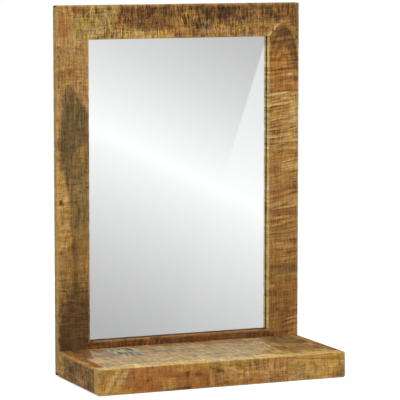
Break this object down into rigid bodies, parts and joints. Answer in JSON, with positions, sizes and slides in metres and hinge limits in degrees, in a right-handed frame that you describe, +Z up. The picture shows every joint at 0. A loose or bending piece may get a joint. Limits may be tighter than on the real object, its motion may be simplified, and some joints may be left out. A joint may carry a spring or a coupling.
{
  "type": "wall mirror with shelf",
  "caption": "Upright rectangular mirror in a mitred rough-sawn wooden frame, with a deep hollow box shelf along its foot. It hangs on keyhole plates or stands on its base.",
  "frame": {"origin": "middle of the base of the whole object, between the shelf's front and the wall side of the frame", "axes": "+Z up, the mirror and the shelf's front face -Y, the wall is on the +Y side, +X to the viewer's right"},
  "size_m": [0.5, 0.23, 0.7],
  "materials": {
    "frame_wood": "rough-sawn, waxed, with saw marks across the grain and grey stain",
    "shelf_wood": "rough-sawn, waxed, smoother on the top, which has a low sheen",
    "inner_wood": "plain planed",
    "hardboard": "smooth pressed board",
    "silvered_glass": "polished, flat, silvered on the back",
    "zinc_steel": "bright zinc plate"
  },
  "bodies": {
    "root": {"frame_left_stile": "frame_wood", "frame_right_stile": "frame_wood", "frame_top_rail": "frame_wood", "frame_bottom_rail": "frame_wood", "shelf_front_left": "shelf_wood", "shelf_front_middle": "shelf_wood", "shelf_front_right": "shelf_wood", "shelf_left_end": "shelf_wood", "shelf_right_end": "shelf_wood", "shelf_top_front_board": "shelf_wood", "shelf_top_rear_board": "shelf_wood", "shelf_bottom_board": "shelf_wood", "shelf_cleat": "inner_wood", "shelf_rib": "inner_wood", "corner_biscuit_top_left": "inner_wood", "corner_biscuit_top_right": "inner_wood", "corner_biscuit_bottom_left": "inner_wood", "corner_biscuit_bottom_right": "inner_wood", "shelf_dowel_1": "inner_wood", "shelf_dowel_2": "inner_wood", "shelf_dowel_3": "inner_wood", "shelf_dowel_4": "inner_wood", "backing_panel": "hardboard", "mirror_pane": "silvered_glass", "keyhole_plate_left": "zinc_steel", "keyhole_plate_right": "zinc_steel", "shelf_screw_1": "zinc_steel", "shelf_screw_2": "zinc_steel", "shelf_screw_3": "zinc_steel", "shelf_screw_4": "zinc_steel", "shelf_screw_5": "zinc_steel", "shelf_screw_6": "zinc_steel", "plate_screw_1": "zinc_steel", "plate_screw_2": "zinc_steel", "plate_screw_3": "zinc_steel", "plate_screw_4": "zinc_steel", "panel_screw_1": "zinc_steel", "panel_screw_2": "zinc_steel", "panel_screw_3": "zinc_steel", "panel_screw_4": "zinc_steel", "panel_screw_5": "zinc_steel", "panel_screw_6": "zinc_steel", "panel_screw_7": "zinc_steel", "panel_screw_8": "zinc_steel", "panel_screw_9": "zinc_steel", "panel_screw_10": "zinc_steel"}
  },
  "joints": []
}
